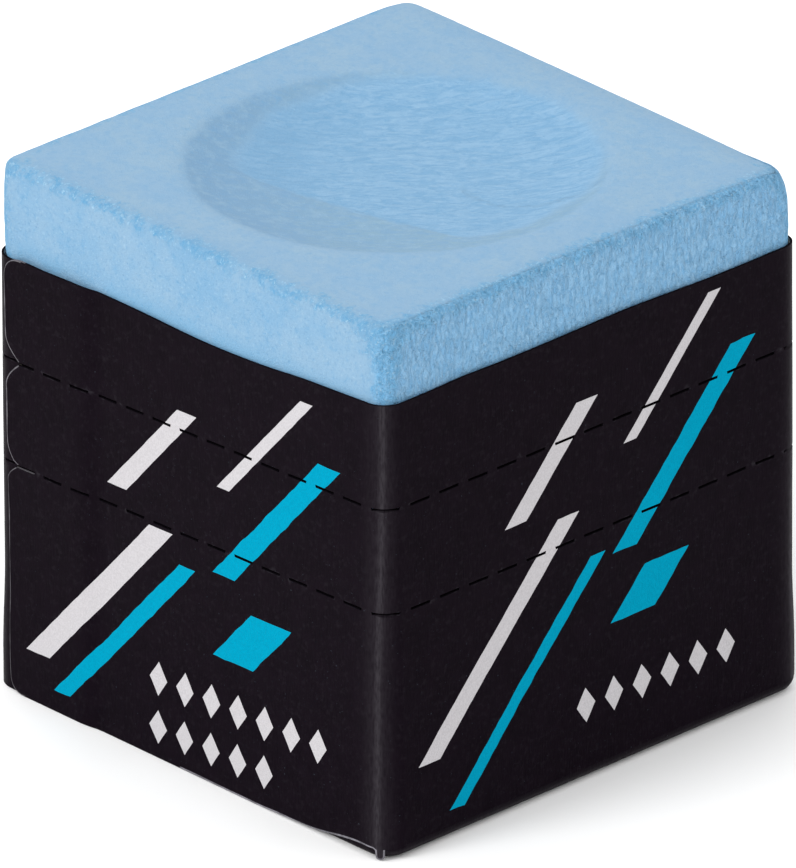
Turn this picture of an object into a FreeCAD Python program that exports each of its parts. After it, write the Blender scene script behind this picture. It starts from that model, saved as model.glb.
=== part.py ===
"""Cue chalk cube: a pressed chalk block in a perforated, self-adhesive paper label. Millimetres.

Frame: the origin is the centre of the underside, +Z is up, and the four sides face +X, -X, +Y and -Y.
The label is one die-cut sheet. Its lead end lies on the -Y side, it runs round by -X, +Y and +X, and its
tail laps over the lead end again on the -Y side. Two lines of slits part it into an upper ring, a middle
ring and a lower wrap, and a flap hinged on the +X side covers the base.
"""
import FreeCAD, Part
import math
import os

os.makedirs("parts", exist_ok=True)

# Chalk block
BLOCK_SIDE = 22.2            # the 7/8 in block that cue chalk is pressed to
TOTAL_HEIGHT = 22.87         # underside of the flap to the rim of the dish
SIDE_EDGE_RADIUS = 0.8       # the four upright edges
TOP_EDGE_RADIUS = 0.45
BASE_EDGE_RADIUS = 0.4
DISH_RADIUS = 8.5
DISH_DEPTH = 1.1
DISH_RIM_RADIUS = 3.0        # the soft lip where the dish meets the top

# Label sheet
PAPER = 0.10                 # paper thickness
GLUE = 0.03                  # adhesive coat thickness
RING_CLEARANCE = 0.02        # air between the coat and the chalk, so that the rings lift off freely
SKEW = 1.9                   # degrees: the label is wrapped askew, higher on +X
TOP_LINE = 19.30             # height of the label's upper edge at x = 0
UPPER_LINE = 14.80           # height of the upper line of slits at x = 0
LOWER_LINE = 10.30           # height of the lower line of slits at x = 0
LEAD_END = -6.1              # x where the lead end stops, under the tail
JOG_START = -5.0             # x where the tail begins to climb over the lead end
JOG_END = -6.0               # x where it lies flat on it
TAIL_END = -10.25            # x of the tail's cut edge, just short of the upright edge
TAB_RADIUS = 0.9             # rounded corners of each tail tab

# Slits and the paper ties left between them
SLIT_WIDTH = 0.08
TIE_LENGTH = 0.55
TIE_PITCH = 1.55
TIES_PER_SIDE = 12

# Base flap, with margins turned up between the chalk and the lower wrap
MARGIN_HEIGHT = 1.2
MARGIN_FOLD_RADIUS = 0.35    # outside radius of the folds of the three turned-up margins
HINGE_FOLD_RADIUS = 0.5      # outside radius of the fold that joins the flap to the +X side
SWELL_LOW = 1.3              # below this the wrap stands out over the margins
SWELL_HIGH = 1.9             # above this it lies on the chalk
WRAP_BOTTOM = 0.05           # height of the wrap's cut lower edge
WRAP_RISE_START = 4.5        # x where that edge starts to rise towards the +X side

# Worked out from the above
HALF = BLOCK_SIDE / 2
FLAT = HALF - SIDE_EDGE_RADIUS                 # half the flat part of a side
COAT_IN = RING_CLEARANCE                       # stand-off of each layer's faces from the chalk's side
COAT_OUT = COAT_IN + GLUE
SHEET_OUT = COAT_OUT + PAPER
LAYER = PAPER + GLUE                           # one thickness of coated paper
BLOCK_BOTTOM = PAPER + GLUE
FAR = 2 * BLOCK_SIDE                           # beyond the object in every direction
CUT_MARGIN = 1.0                               # how far a cutting tool runs past what it cuts


def vec(x, y, z=0.0):
    return FreeCAD.Vector(x, y, z)


def arc(start, middle, end):
    return Part.Arc(start, middle, end).toShape()


def line(start, end):
    return Part.LineSegment(start, end).toShape()


def wrap_line(stand_off, z):
    """Edges of the line that the label follows round the block, from its lead end to its tail."""
    far = HALF + stand_off
    bend = (SIDE_EDGE_RADIUS + stand_off) * math.sqrt(0.5)
    raised = far + LAYER
    corners = [(-1, -1), (-1, 1), (1, 1), (1, -1)]
    edges = []
    here = vec(LEAD_END, -far, z)
    for index, (sx, sy) in enumerate(corners):
        along_x = vec(sx * FLAT, sy * far, z)
        along_y = vec(sx * far, sy * FLAT, z)
        first, last = (along_x, along_y) if index % 2 == 0 else (along_y, along_x)
        middle = vec(sx * (FLAT + bend), sy * (FLAT + bend), z)
        edges.append(line(here, first))
        edges.append(arc(first, middle, last))
        here = last
    for there in (vec(JOG_START, -far, z), vec(JOG_END, -raised, z), vec(TAIL_END, -raised, z)):
        edges.append(line(here, there))
        here = there
    return edges


def strip_wire(inner, outer, z):
    """Closed outline, seen from above, of a layer between two stand-offs from the chalk."""
    inside = wrap_line(inner, z)
    outside = wrap_line(outer, z)
    tail = line(vec(TAIL_END, -(HALF + inner + LAYER), z), vec(TAIL_END, -(HALF + outer + LAYER), z))
    lead = line(vec(LEAD_END, -(HALF + outer), z), vec(LEAD_END, -(HALF + inner), z))
    return Part.Wire(inside + [tail] + outside[::-1] + [lead])


def upright_strip(inner, outer):
    """A layer of the label over the whole height, before it is cut into rings."""
    face = Part.Face(strip_wire(inner, outer, 0.0))
    return face.extrude(vec(0, 0, TOTAL_HEIGHT))


def swelled_strip(inner, outer):
    """The same layer, standing out over the turned-up margins at its foot."""
    levels = [(0.0, LAYER), (SWELL_LOW, LAYER), (SWELL_HIGH, 0.0), (TOTAL_HEIGHT, 0.0)]
    wires = [strip_wire(inner + out, outer + out, z) for z, out in levels]
    return Part.makeLoft(wires, True, True)


def slanted_slab(low, high):
    """Everything between two heights, both measured at x = 0, along the skewed lines of the label."""
    slab = Part.makeBox(2 * FAR, 2 * FAR, high - low, vec(-FAR, -FAR, low))
    slab.rotate(vec(0, 0, low), vec(0, 1, 0), -SKEW)
    return slab


def tab_corner(height, side):
    """Tool that rounds one corner of a tail tab: side is +1 at the tab's top and -1 at its foot."""
    y_start = -(HALF + SHEET_OUT + CUT_MARGIN)
    corner = vec(TAIL_END + TAB_RADIUS, y_start, height - side * TAB_RADIUS)
    reach = TAB_RADIUS + CUT_MARGIN
    low_z = corner.z if side > 0 else corner.z - reach
    tool = Part.makeBox(reach, CUT_MARGIN, reach, vec(corner.x - reach, y_start, low_z))
    round_part = Part.makeCylinder(TAB_RADIUS, CUT_MARGIN, corner, vec(0, 1, 0))
    tool = tool.cut(round_part)
    tool.rotate(vec(0, 0, height), vec(0, 1, 0), -SKEW)
    return tool


def ring(strip, low, high):
    """One band of a layer between two slit lines, with its tail tab's corners rounded."""
    band = strip.common(slanted_slab(low, high))
    return band.cut([tab_corner(high, 1), tab_corner(low, -1)])


def lower_band(strip):
    """The part of a layer below the lower line, trimmed along its foot."""
    band = strip.common(slanted_slab(-CUT_MARGIN, LOWER_LINE - SLIT_WIDTH / 2))
    foot = [
        vec(-FAR, -FAR, -FAR),
        vec(FAR, -FAR, -FAR),
        vec(FAR, -FAR, HINGE_FOLD_RADIUS),
        vec(HALF, -FAR, HINGE_FOLD_RADIUS),
        vec(WRAP_RISE_START, -FAR, WRAP_BOTTOM),
        vec(-FAR, -FAR, WRAP_BOTTOM),
    ]
    tool = Part.Face(Part.makePolygon(foot + foot[:1])).extrude(vec(0, 2 * FAR, 0))
    corner = tab_corner(LOWER_LINE - SLIT_WIDTH / 2, 1)
    return band.cut([tool, corner])


def ties(strip, height):
    """The uncut paper between the slits of one line: a row of ties on each side."""
    line_slab = strip.common(slanted_slab(height - SLIT_WIDTH / 2, height + SLIT_WIDTH / 2))
    wall = CUT_MARGIN
    first = -TIE_PITCH * (TIES_PER_SIDE - 1) / 2
    pegs = []
    for number in range(TIES_PER_SIDE):
        middle = first + number * TIE_PITCH
        for side in (-1, 1):
            across = side * HALF - wall
            pegs.append(Part.makeBox(TIE_LENGTH, 2 * wall, TOTAL_HEIGHT, vec(middle - TIE_LENGTH / 2, across, 0)))
            pegs.append(Part.makeBox(2 * wall, TIE_LENGTH, TOTAL_HEIGHT, vec(across, middle - TIE_LENGTH / 2, 0)))
    return line_slab.common(Part.makeCompound(pegs))


def chalk_block():
    """The pressed block: rounded edges and a shallow dish for the cue tip."""
    body = Part.makeBox(BLOCK_SIDE, BLOCK_SIDE, TOTAL_HEIGHT - BLOCK_BOTTOM, vec(-HALF, -HALF, BLOCK_BOTTOM))
    upright = [edge for edge in body.Edges if abs(edge.tangentAt(edge.FirstParameter).z) > 0.5]
    body = body.makeFillet(SIDE_EDGE_RADIUS, upright)
    top = [edge for edge in body.Edges if edge.BoundBox.ZMin > TOTAL_HEIGHT - PAPER]
    body = body.makeFillet(TOP_EDGE_RADIUS, top)
    base = [edge for edge in body.Edges if edge.BoundBox.ZMax < BLOCK_BOTTOM + PAPER]
    body = body.makeFillet(BASE_EDGE_RADIUS, base)
    ball_radius = (DISH_RADIUS ** 2 + DISH_DEPTH ** 2) / (2 * DISH_DEPTH)
    ball = Part.makeSphere(ball_radius, vec(0, 0, TOTAL_HEIGHT - DISH_DEPTH + ball_radius))
    body = body.cut(ball)
    rim = [edge for edge in body.Edges if is_dish_rim(edge)]
    return body.makeFillet(DISH_RIM_RADIUS, rim)


def is_dish_rim(edge):
    on_top = edge.BoundBox.ZMin > TOTAL_HEIGHT - TOP_EDGE_RADIUS / 2
    return on_top and abs(edge.Length - 2 * math.pi * DISH_RADIUS) < PAPER


def folded_margin(outside, fold_radius, top):
    """Section of a fold in the XZ plane: level under the block, then up the side at x = outside."""
    centre_x = outside - fold_radius
    inner_radius = fold_radius - PAPER
    turn = math.sqrt(0.5)
    outer_points = [
        vec(centre_x, 0, 0),
        vec(centre_x + fold_radius * turn, 0, fold_radius - fold_radius * turn),
        vec(outside, 0, fold_radius),
    ]
    inner_points = [
        vec(outside - PAPER, 0, fold_radius),
        vec(centre_x + inner_radius * turn, 0, fold_radius - inner_radius * turn),
        vec(centre_x, 0, PAPER),
    ]
    edges = [arc(*outer_points)]
    if top > fold_radius:
        edges.append(line(vec(outside, 0, fold_radius), vec(outside, 0, top)))
        edges.append(line(vec(outside, 0, top), vec(outside - PAPER, 0, top)))
        edges.append(line(vec(outside - PAPER, 0, top), vec(outside - PAPER, 0, fold_radius)))
    else:
        edges.append(line(outer_points[2], inner_points[0]))
    edges.append(arc(*inner_points))
    edges.append(line(inner_points[2], outer_points[0]))
    profile = Part.Face(Part.Wire(edges))
    profile.translate(vec(0, -FLAT, 0))
    return profile.extrude(vec(0, 2 * FLAT, 0))


def turned(shape, degrees):
    """A copy turned about the block's upright axis."""
    copy = shape.copy()
    copy.rotate(vec(0, 0, 0), vec(0, 0, 1), degrees)
    return copy


def base_flap():
    """The sheet under the block, its hinge fold on +X and its three turned-up margins."""
    margin_outside = HALF + SHEET_OUT
    hinge_outside = margin_outside + LAYER
    edge = margin_outside - MARGIN_FOLD_RADIUS
    hinge_edge = hinge_outside - HINGE_FOLD_RADIUS
    sheet = Part.makeBox(edge + hinge_edge, 2 * edge, PAPER, vec(-edge, -edge, 0))
    corners = [e for e in sheet.Edges if abs(e.tangentAt(e.FirstParameter).z) > 0.5]
    sheet = sheet.makeFillet(edge - FLAT, corners)
    margin = folded_margin(margin_outside, MARGIN_FOLD_RADIUS, MARGIN_HEIGHT)
    hinge = folded_margin(hinge_outside, HINGE_FOLD_RADIUS, HINGE_FOLD_RADIUS)
    flap = sheet.fuse([hinge] + [turned(margin, degrees) for degrees in (90, 180, 270)])
    return flap.removeSplitter()


def base_flap_adhesive():
    """The coat on the flap: one sheet under the chalk and one strip on each turned-up margin."""
    reach = HALF - BASE_EDGE_RADIUS
    coat = Part.makeBox(2 * reach, 2 * reach, GLUE, vec(-reach, -reach, PAPER))
    corners = [e for e in coat.Edges if abs(e.tangentAt(e.FirstParameter).z) > 0.5]
    coat = coat.makeFillet(SIDE_EDGE_RADIUS - BASE_EDGE_RADIUS, corners)
    low = BLOCK_BOTTOM + BASE_EDGE_RADIUS
    strip = Part.makeBox(GLUE, 2 * FLAT, MARGIN_HEIGHT - low, vec(HALF + COAT_IN, -FLAT, low))
    return Part.makeCompound([coat] + [turned(strip, degrees) for degrees in (90, 180, 270)])


def main():
    half_slit = SLIT_WIDTH / 2
    paper = upright_strip(COAT_OUT, SHEET_OUT)
    coat = upright_strip(COAT_IN, COAT_OUT)
    parts = {
        "chalk_block": chalk_block(),
        "upper_ring": ring(paper, UPPER_LINE + half_slit, TOP_LINE),
        "upper_ring_adhesive": ring(coat, UPPER_LINE + half_slit, TOP_LINE),
        "upper_perforation_ties": ties(paper, UPPER_LINE),
        "middle_ring": ring(paper, LOWER_LINE + half_slit, UPPER_LINE - half_slit),
        "middle_ring_adhesive": ring(coat, LOWER_LINE + half_slit, UPPER_LINE - half_slit),
        "lower_perforation_ties": ties(paper, LOWER_LINE),
        "lower_wrap": lower_band(swelled_strip(COAT_OUT, SHEET_OUT)),
        "lower_wrap_adhesive": lower_band(swelled_strip(COAT_IN, COAT_OUT)),
        "base_flap": base_flap(),
        "base_flap_adhesive": base_flap_adhesive(),
    }
    for name, shape in parts.items():
        box = shape.BoundBox
        print(f"{name}: {len(shape.Solids)} solid(s), valid {shape.isValid()}, {shape.Volume:.3f} mm3, "
              f"x {box.XMin:.2f}..{box.XMax:.2f}, y {box.YMin:.2f}..{box.YMax:.2f}, "
              f"z {box.ZMin:.2f}..{box.ZMax:.2f}")
        shape.exportStep(os.path.join("parts", name + ".step"))


main()
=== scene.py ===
"""Cue chalk cube: the looks of the pressed chalk block and of its perforated paper label.

Lengths in this script are millimetres until a mesh is made, and metres after that. The label is worked out
flat, as the die cuts it: t runs along the sheet from its tail end, to the right as seen from outside, and v
is the height at x = 0. place() then wraps it round the block.
"""
import math

import bpy
import numpy as np
from mathutils import Matrix, Vector
from mathutils.geometry import delaunay_2d_cdt


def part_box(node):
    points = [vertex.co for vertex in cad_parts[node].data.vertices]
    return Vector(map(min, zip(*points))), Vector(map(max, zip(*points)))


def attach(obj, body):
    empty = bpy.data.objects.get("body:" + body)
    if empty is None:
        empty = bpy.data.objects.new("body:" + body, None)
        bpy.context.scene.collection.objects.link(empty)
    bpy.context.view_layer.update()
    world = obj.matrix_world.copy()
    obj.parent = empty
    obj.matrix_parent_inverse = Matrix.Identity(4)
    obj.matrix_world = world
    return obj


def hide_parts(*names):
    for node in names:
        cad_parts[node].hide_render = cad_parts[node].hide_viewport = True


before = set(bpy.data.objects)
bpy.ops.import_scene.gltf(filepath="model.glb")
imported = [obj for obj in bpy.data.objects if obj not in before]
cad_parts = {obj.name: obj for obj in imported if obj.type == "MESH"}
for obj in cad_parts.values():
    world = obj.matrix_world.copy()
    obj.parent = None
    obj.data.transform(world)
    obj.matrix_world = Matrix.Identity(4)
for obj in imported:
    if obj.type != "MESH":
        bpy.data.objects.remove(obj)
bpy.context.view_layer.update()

MM = 0.001
FLOOR_MARGIN = 0.8  # colours are this much darker and light this much brighter, so the floor burns out

# ---------------- sizes, from the frame where it has them
block_low, block_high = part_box("chalk_block")
HALF = 11.1  # half the block's side
TOTAL_HEIGHT = block_high[2] / MM
BLOCK_BOTTOM = block_low[2] / MM
CHALK_EDGE = 0.72  # radius of the block's upright edges, where they are bare
LABEL_EDGE = 0.84  # radius the label is folded to there, less its glue
HIDDEN_EDGE = LABEL_EDGE + 0.06  # radius of the block's upright edges under the label
HIDDEN_TO = 18.4  # height up to which the label hides them
BARE_FROM = 19.6
TOP_EDGE = 0.42
BASE_EDGE = 0.4
CORNER_CUT = 1.25  # how far the worn corner's cut reaches along each edge
CORNER_SOFT = 0.4
FLAT = HALF - LABEL_EDGE

RIGHT_X = 0.685  # direction to the right, as the dish is seen over the front upright edge
RIGHT_Y = 0.729
CHORD_LEAN = 0.7  # a nearly straight line bounds the rubbed floor of the dish on its near left
CHORD_OFFSET = 3.9

PAPER = 0.1
GLUE = 0.03
COAT_IN = 0.02
COAT_OUT = COAT_IN + GLUE
LAYER = PAPER + GLUE
SKEW = math.tan(math.radians(1.9))
TOP_LINE = 19.3
UPPER_LINE = 14.8
LOWER_LINE = 10.3
TAIL_END = -10.25
LEAD_END = -6.1
JOG_START = -5.0
JOG_END = -6.0
SLIT = 0.12
TIE = 0.55
TIE_PITCH = 1.55
SHEET_STEP = 0.5  # size of the paper's triangles, and of the adhesive's
COAT_STEP = 0.9
END_GAP = 0.1  # a long edge's points stop this far short of its ends
SETBACK = 0.1  # how far the adhesive stays inside the paper's free edges
HINGE_RADIUS = 0.62
MARGIN_RADIUS = 0.35
MARGIN_HEIGHT = 1.0

# Lengths along the sheet, from the tail end
QUARTER = (LABEL_EDGE + COAT_OUT) * math.pi / 2
FRONT_PANEL = FLAT - TAIL_END
SIDE_PANEL = 2 * FLAT
PANELS = (FRONT_PANEL, SIDE_PANEL, SIDE_PANEL, SIDE_PANEL)
PANEL_STARTS = [0.0]
for panel in PANELS:
    PANEL_STARTS.append(PANEL_STARTS[-1] + panel + QUARTER)
SHEET_LENGTH = PANEL_STARTS[4] + LEAD_END + FLAT
TONGUE = FRONT_PANEL + 0.47  # a small tongue of the sheet hangs down beside the front upright edge
TONGUE_HALF = 0.15


# ---------------- helpers
def smooth(low, high, value):
    ratio = np.clip((value - low) / (high - low), 0.0, 1.0)
    return ratio * ratio * (3 - 2 * ratio)


def near(distance, reach):
    """1 at no distance, falling away to nothing past the reach."""
    return np.exp(-(distance / reach) ** 2)


def lattice(points, seed):
    """Smooth value noise from -1 to 1 at points given in lattice units."""
    points = np.asarray(points, float)
    cell = np.floor(points).astype(np.int64)
    part = points - cell
    part = part * part * (3 - 2 * part)
    total = np.zeros(len(points))
    for corner in range(8):
        step = np.array([corner & 1, (corner >> 1) & 1, (corner >> 2) & 1])
        at = cell + step
        mixed = (at[:, 0] * 73856093) ^ (at[:, 1] * 19349663) ^ (at[:, 2] * 83492791) ^ (seed * 2654435)
        mixed = (mixed ^ (mixed >> 13)) * 1274126177
        mixed = (mixed ^ (mixed >> 16)) & 0xFFFFFF
        weight = np.prod(np.where(step == 1, part, 1 - part), axis=1)
        total += weight * (mixed / float(0x7FFFFF) - 1)
    return total


def cloudy(points, seed, octaves=3):
    """Several octaves of lattice noise, from about -1 to 1."""
    points = np.asarray(points, float)
    total, size, reach = np.zeros(len(points)), 1.0, 0.0
    for octave in range(octaves):
        total += size * lattice(points * 2.0 ** octave, seed + octave)
        reach += size
        size *= 0.5
    return total / reach


def put(name, data):
    thing = bpy.data.objects.new(name, data)
    bpy.context.scene.collection.objects.link(thing)
    return thing


def mesh_object(name, points_mm, faces, materials, indices=None):
    mesh = bpy.data.meshes.new(name)
    mesh.from_pydata((np.asarray(points_mm) * MM).tolist(), [], faces)
    for material in materials:
        mesh.materials.append(material)
    if indices is not None:
        mesh.polygons.foreach_set("material_index", np.asarray(indices, np.int32))
    mesh.polygons.foreach_set("use_smooth", np.ones(len(mesh.polygons), bool))
    mesh.validate()
    mesh.update()
    return put(name, mesh)


def sharpen(thing, degrees):
    """Keeps a hard line wherever two faces meet at more than this angle."""
    thing.data.set_sharp_from_angle(angle=math.radians(degrees))


def vertex_values(thing, name, values):
    layer = thing.data.attributes.new(name, "FLOAT", "POINT")
    layer.data.foreach_set("value", np.asarray(values, np.float32))


# ---------------- material building blocks
class Nodes:
    """Short names for the few shader nodes that the materials use."""

    def __init__(self, name):
        self.material = bpy.data.materials.new(name)
        self.material.use_nodes = True
        self.tree = self.material.node_tree
        self.shader = self.tree.nodes["Principled BSDF"]

    def add(self, kind, **settings):
        node = self.tree.nodes.new(kind)
        for key, value in settings.items():
            setattr(node, key, value)
        return node

    def link(self, source, target):
        self.tree.links.new(source, target)

    def feed(self, value, socket):
        if isinstance(value, bpy.types.NodeSocket):
            self.link(value, socket)
        else:
            socket.default_value = value

    def maths(self, operation, a, b=0.0, clamp=False):
        node = self.add("ShaderNodeMath", operation=operation, use_clamp=clamp)
        self.feed(a, node.inputs[0])
        self.feed(b, node.inputs[1])
        return node.outputs[0]

    def plus(self, a, b):
        return self.maths("ADD", a, b)

    def minus(self, a, b):
        return self.maths("SUBTRACT", a, b)

    def times(self, a, b):
        return self.maths("MULTIPLY", a, b)

    def ruffled(self, value, texture, amount):
        """The value, pushed up and down by a texture round its middle of 0.5."""
        return self.plus(value, self.times(self.minus(texture, 0.5), amount))

    def axes(self):
        """x, y and z in millimetres."""
        split = self.add("ShaderNodeSeparateXYZ")
        self.link(self.add("ShaderNodeTexCoord").outputs["Object"], split.inputs[0])
        return [self.times(split.outputs[index], 1 / MM) for index in range(3)]

    def vector(self, x, y, z):
        join = self.add("ShaderNodeCombineXYZ")
        for value, socket in zip((x, y, z), join.inputs):
            self.feed(value, socket)
        return join.outputs[0]

    def noise(self, vector, scale=1.0, detail=3.0, roughness=0.55, distortion=0.0):
        node = self.add("ShaderNodeTexNoise")
        self.link(vector, node.inputs["Vector"])
        for name, setting in (("Scale", scale), ("Detail", detail), ("Roughness", roughness),
                              ("Distortion", distortion)):
            node.inputs[name].default_value = setting
        return node.outputs["Fac"]

    def span(self, value, low, high, to_low=0.0, to_high=1.0):
        node = self.add("ShaderNodeMapRange", interpolation_type="SMOOTHSTEP")
        self.link(value, node.inputs["Value"])
        for name, setting in (("From Min", low), ("From Max", high), ("To Min", to_low), ("To Max", to_high)):
            node.inputs[name].default_value = setting
        return node.outputs["Result"]

    def mix(self, share, a, b):
        node = self.add("ShaderNodeMix", data_type="RGBA")
        self.feed(share, node.inputs[0])
        self.feed(a, node.inputs[6])
        self.feed(b, node.inputs[7])
        return node.outputs[2]

    def wash(self, base, texture, low, high, amount, tint):
        """The base colour, with up to this amount of a tint where the texture runs from low to high."""
        return self.mix(self.span(texture, low, high, 0.0, amount), base, tint)

    def attribute(self, name):
        return self.add("ShaderNodeAttribute", attribute_name=name).outputs["Fac"]

    def bump(self, height, distance, below=None):
        node = self.add("ShaderNodeBump")
        self.feed(height, node.inputs["Height"])
        node.inputs["Distance"].default_value = distance
        if below is not None:
            self.link(below, node.inputs["Normal"])
        return node.outputs["Normal"]

    def set(self, **values):
        names = {"color": "Base Color", "roughness": "Roughness", "specular": "Specular IOR Level",
                 "normal": "Normal", "sheen": "Sheen Weight", "sheen_roughness": "Sheen Roughness"}
        for key, value in values.items():
            self.feed(value, self.shader.inputs[names[key]])
        return self.material


def color(r, g, b):
    """A colour as it looks under plain white light. The studio is brighter, so that its floor burns out."""
    return (r * FLOOR_MARGIN, g * FLOOR_MARGIN, b * FLOOR_MARGIN, 1.0)


def pressed_chalk():
    """Dry pressed powder: greyer where it was struck flat, deeper blue where its edges have crumbled."""
    n = Nodes("chalk_pressed")
    x, y, z = n.axes()
    right = n.plus(n.times(x, RIGHT_X), n.times(y, RIGHT_Y))
    back = n.minus(n.times(y, RIGHT_X), n.times(x, RIGHT_Y))
    spot = n.vector(x, y, z)
    top, floor, wall = n.attribute("top"), n.attribute("dish_floor"), n.attribute("dish_wall")
    edge, coarse = n.attribute("worn_edge"), n.attribute("coarse_side")
    on_side = n.maths("SUBTRACT", 1.0, top, clamp=True)

    clouds = n.noise(spot, 0.5, 5.0, 0.62)
    patches = n.noise(spot, 1.9, 4.0, 0.65)
    grain = n.noise(spot, 7.5, 3.0, 0.7)
    specks = n.noise(spot, 15.0, 2.0, 0.6)
    flecks = n.noise(spot, 4.0, 5.0, 0.72)
    wipes = n.noise(n.vector(n.times(right, 1.1), n.times(back, 3.4), z), 1.0, 6.0, 0.72, 1.0)
    tears = n.noise(n.vector(n.times(right, 4.4), n.times(back, 4.4), n.times(z, 2.3)), 1.0, 4.0, 0.66, 1.3)

    fine_side = n.mix(n.span(clouds, 0.34, 0.66), color(0.212, 0.406, 0.606), color(0.27, 0.442, 0.612))
    torn_side = n.mix(n.span(tears, 0.32, 0.68), color(0.206, 0.47, 0.766), color(0.318, 0.584, 0.85))
    side_color = n.mix(coarse, fine_side, torn_side)
    top_color = n.mix(n.span(clouds, 0.36, 0.66), color(0.25, 0.414, 0.588), color(0.276, 0.43, 0.58))
    top_color = n.wash(top_color, patches, 0.56, 0.36, 0.55, color(0.214, 0.392, 0.588))
    floor_color = n.mix(n.span(wipes, 0.34, 0.66), color(0.178, 0.374, 0.588), color(0.268, 0.456, 0.652))
    # Painted shade: the dish floor is painted darker towards its left, in patches
    floor_left_shade = n.times(n.span(right, -1.0, -6.0), n.span(clouds, 0.36, 0.6, 0.35, 0.75))
    floor_color = n.mix(floor_left_shade, floor_color, color(0.178, 0.362, 0.566))
    # Painted shade: the dish wall is painted darker than the top, most on its left and less on its near side;
    # streaks and patches go over that
    shaded_wall_color = n.mix(n.span(right, -7.5, 1.0), color(0.2, 0.352, 0.514), color(0.238, 0.39, 0.508))
    shaded_wall_color = n.mix(n.span(wipes, 0.36, 0.66, 0.7, 0.0), shaded_wall_color, color(0.18, 0.352, 0.56))
    shaded_wall_color = n.wash(shaded_wall_color, patches, 0.44, 0.7, 0.6, color(0.268, 0.428, 0.58))
    ragged = n.ruffled(top, grain, 1.2)
    ragged = n.ruffled(ragged, patches, 1.0)
    tint = n.mix(n.span(ragged, 0.3, 0.7), side_color, top_color)
    tint = n.mix(n.span(n.ruffled(wall, flecks, 1.4), 0.1, 0.9), tint, shaded_wall_color)
    tint = n.mix(n.span(n.ruffled(floor, wipes, 1.2), 0.0, 1.0), tint, floor_color)

    ragged_edge = n.ruffled(edge, patches, 2.6)
    ragged_edge = n.ruffled(ragged_edge, grain, 1.2)
    crumbled = n.times(n.span(ragged_edge, 0.36, 0.8), n.span(edge, 0.04, 0.4))
    # Crumbled edges are deeper blue. Painted light: on the coarse +X and +Y sides, which the soft box lights
    # less, the crumbs are painted lighter, and on the other sides darker
    crumb_color_with_painted_light = n.mix(coarse, color(0.12, 0.352, 0.58), color(0.178, 0.49, 0.8))
    deep_crumb = n.mix(coarse, color(0.1, 0.325, 0.57), color(0.13, 0.39, 0.66))
    crumb_color_with_painted_light = n.mix(n.span(grain, 0.36, 0.6), deep_crumb, crumb_color_with_painted_light)
    tint = n.mix(n.times(crumbled, n.span(flecks, 0.3, 0.6, 0.9, 0.45)), tint, crumb_color_with_painted_light)
    # Painted highlight: light flecks on the grains along the worn crests
    crest_glints = n.times(n.span(edge, 0.2, 0.6), n.span(grain, 0.56, 0.66, 0.0, 0.6))
    tint = n.mix(crest_glints, tint, color(0.34, 0.57, 0.76))
    fleck_share = n.plus(n.times(on_side, 0.1), 0.24)
    tint = n.mix(n.times(n.span(flecks, 0.48, 0.33), fleck_share), tint, color(0.125, 0.345, 0.58))
    pits = n.times(n.span(grain, 0.47, 0.26), n.plus(n.times(on_side, 0.32), 0.26))
    tint = n.mix(pits, tint, n.mix(coarse, color(0.13, 0.31, 0.51), color(0.135, 0.37, 0.64)))
    crumbs = n.times(n.span(grain, 0.55, 0.76), n.plus(n.times(on_side, 0.3), 0.26))
    tint = n.mix(crumbs, tint, n.mix(coarse, color(0.4, 0.57, 0.71), color(0.4, 0.63, 0.84)))
    tint = n.wash(tint, specks, 0.7, 0.8, 0.3, color(0.5, 0.64, 0.75))

    # Painted shade: a darker, bluer band on the sides just above the top edge of the label
    shade_above_label = n.times(n.span(z, 20.3, 19.0), n.span(z, 18.2, 18.8))
    shade_above_label = n.times(shade_above_label, n.span(clouds, 0.44, 0.58, 0.0, 0.55))
    tint = n.mix(n.times(shade_above_label, on_side), tint, color(0.14, 0.375, 0.61))

    # Two creases a cue tip has left, where it stopped on the near side and a curl at the right: pressed in as
    # relief, with painted shade darkening each line
    stop = n.plus(n.plus(n.times(right, CHORD_LEAN), back), CHORD_OFFSET - 0.08)
    stop = n.ruffled(stop, patches, 0.55)
    stop = n.times(n.span(n.maths("ABSOLUTE", stop), 0.26, 0.02), n.span(right, -6.0, -3.0))
    stop = n.times(stop, n.span(right, 3.2, 1.4))
    curl = n.plus(n.maths("POWER", n.minus(right, 5.6), 2.0), n.maths("POWER", n.minus(back, 0.2), 2.0))
    curl = n.maths("SQRT", curl)
    curl = n.ruffled(curl, patches, 0.9)
    curl = n.minus(curl, 3.05)
    curl = n.times(n.span(n.maths("ABSOLUTE", curl), 0.24, 0.02), n.span(back, 0.4, -1.2))
    marks = n.times(n.maths("MAXIMUM", stop, curl), n.maths("MAXIMUM", floor, wall))
    marks = n.times(marks, n.span(wipes, 0.42, 0.6))
    # Painted shade along the two creases
    tint = n.mix(n.times(marks, 0.3), tint, color(0.12, 0.27, 0.42))

    relief = n.plus(n.times(grain, 0.6), n.times(specks, 0.35))
    rough = n.plus(n.times(on_side, 0.5), n.plus(n.times(edge, 0.45), 0.35))
    fine = n.bump(n.times(relief, rough), 0.00008)
    torn = n.bump(n.times(tears, coarse), 0.0002, below=fine)
    wiped = n.minus(n.times(wipes, n.plus(n.times(floor, 0.7), 0.12)), n.times(marks, 0.35))
    return n.set(color=tint, roughness=n.span(grain, 0.3, 0.7, 0.88, 1.0), specular=0.1,
                 normal=n.bump(wiped, 0.00006, below=torn), sheen=0.05, sheen_roughness=0.6)


def paper_texture(n):
    """Calendered paper: faint fibres and a soft mottle, as roughness and relief."""
    x, y, z = n.axes()
    spot = n.vector(x, y, z)
    fibres = n.noise(n.vector(n.times(n.plus(x, y), 9.0), 0.0, n.times(z, 2.2)), 1.0, 3.0, 0.6)
    mottle = n.noise(spot, 1.3, 3.0, 0.55)
    return spot, fibres, mottle


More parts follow.
